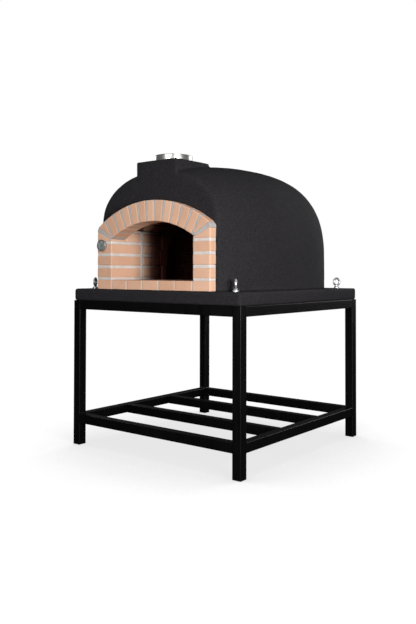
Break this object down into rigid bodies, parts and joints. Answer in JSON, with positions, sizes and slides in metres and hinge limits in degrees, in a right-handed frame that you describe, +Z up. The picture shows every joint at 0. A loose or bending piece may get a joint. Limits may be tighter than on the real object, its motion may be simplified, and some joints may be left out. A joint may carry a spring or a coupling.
{
  "type": "wood fired pizza oven",
  "caption": "Brick arched wood fired oven with a dark rendered dome and chimney block on an open square tube stand with a log shelf",
  "frame": {"origin": "on the floor, at the centre of the whole part's footprint", "axes": "+Z up; -Y is the side with the brick arch and the oven's mouth; +X is to the right when facing the arch"},
  "size_m": [1.163, 1.1944, 1.593],
  "materials": {
    "black_steel": "semi-gloss black paint on square steel tube",
    "black_plastic": "moulded black plug",
    "slab_render": "charcoal fine-grain render on concrete",
    "zinc_steel": "bright zinc plated forged steel",
    "calcium_silicate": "pressed insulating board",
    "fire_brick": "dry pressed fire brick, sooted inside the chamber",
    "face_brick": "salmon-beige smooth refractory facing brick",
    "arch_joint": "grey refractory mortar",
    "bed_joint": "light grey refractory mortar",
    "refractory_cast": "cast refractory concrete",
    "ceramic_fibre": "needled ceramic fibre blanket",
    "vermiculite": "vermiculite insulating concrete",
    "charcoal_render": "charcoal fine-grain render",
    "stainless": "brushed stainless steel",
    "brass": "drawn tube",
    "steel_case": "pressed steel",
    "dial_paint": "printed aluminium dial",
    "pointer_paint": "black painted steel",
    "clear_glass": "clear flat glass"
  },
  "bodies": {
    "oven": {"leg_front_left": "black_steel", "leg_front_right": "black_steel", "leg_rear_left": "black_steel", "leg_rear_right": "black_steel", "top_rail_front": "black_steel", "top_rail_rear": "black_steel", "top_rail_left": "black_steel", "top_rail_right": "black_steel", "low_rail_front": "black_steel", "low_rail_rear": "black_steel", "low_rail_left": "black_steel", "low_rail_right": "black_steel", "shelf_bar_front": "black_steel", "cross_bar_front": "black_steel", "shelf_bar_rear": "black_steel", "cross_bar_rear": "black_steel", "foot_caps": "black_plastic", "weld_beads": "black_steel", "base_slab": "slab_render", "ferrules": "zinc_steel", "hearth_board": "calcium_silicate", "hearth_tiles": "fire_brick", "sill_bricks": "face_brick", "jamb_left": "face_brick", "jamb_right": "face_brick", "voussoir_01": "face_brick", "voussoir_02": "face_brick", "voussoir_03": "face_brick", "voussoir_04": "face_brick", "voussoir_05": "face_brick", "voussoir_06": "face_brick", "voussoir_07": "face_brick", "voussoir_08": "face_brick", "voussoir_09": "face_brick", "voussoir_10": "face_brick", "voussoir_11": "face_brick", "voussoir_12": "face_brick", "voussoir_13": "face_brick", "arch_mortar": "arch_joint", "bed_mortar": "bed_joint", "mouth_bricks": "fire_brick", "smoke_hood": "refractory_cast", "dome_bricks": "fire_brick", "dome_crown": "refractory_cast", "fibre_blanket": "ceramic_fibre", "insulating_fill": "vermiculite", "chimney_render": "charcoal_render", "render_shell": "charcoal_render", "flue_collar": "stainless", "thermo_sleeve": "brass"},
    "thermometer": {"thermo_case": "steel_case", "thermo_stem": "stainless", "thermo_dial": "dial_paint", "thermo_glass": "clear_glass", "thermo_bezel": "stainless"},
    "pointer": {"thermo_pointer": "pointer_paint"},
    "lifting_eye_front_left": {"eye_bolt_front_left": "zinc_steel"},
    "lifting_eye_front_right": {"eye_bolt_front_right": "zinc_steel"},
    "lifting_eye_rear_left": {"eye_bolt_rear_left": "zinc_steel"},
    "lifting_eye_rear_right": {"eye_bolt_rear_right": "zinc_steel"}
  },
  "joints": [
    {"name": "thermometer_slide", "type": "slide", "parent": "oven", "child": "thermometer", "axis": [0, -1, 0], "range_m": [0, 0.2]},
    {"name": "pointer_turn", "type": "hinge", "parent": "thermometer", "child": "pointer", "pos_m": [-0.351, -0.5918, 1.115], "axis": [0, 1, 0], "range_deg": [0, 270]},
    {"name": "lifting_eye_front_left_turn", "type": "hinge", "parent": "oven", "child": "lifting_eye_front_left", "pos_m": [-0.494, -0.5038, 0.876], "axis": [0, 0, 1], "range_deg": [-180, 180]},
    {"name": "lifting_eye_front_right_turn", "type": "hinge", "parent": "oven", "child": "lifting_eye_front_right", "pos_m": [0.494, -0.5038, 0.876], "axis": [0, 0, 1], "range_deg": [-180, 180]},
    {"name": "lifting_eye_rear_left_turn", "type": "hinge", "parent": "oven", "child": "lifting_eye_rear_left", "pos_m": [-0.494, 0.5162, 0.876], "axis": [0, 0, 1], "range_deg": [-180, 180]},
    {"name": "lifting_eye_rear_right_turn", "type": "hinge", "parent": "oven", "child": "lifting_eye_rear_right", "pos_m": [0.494, 0.5162, 0.876], "axis": [0, 0, 1], "range_deg": [-180, 180]}
  ]
}
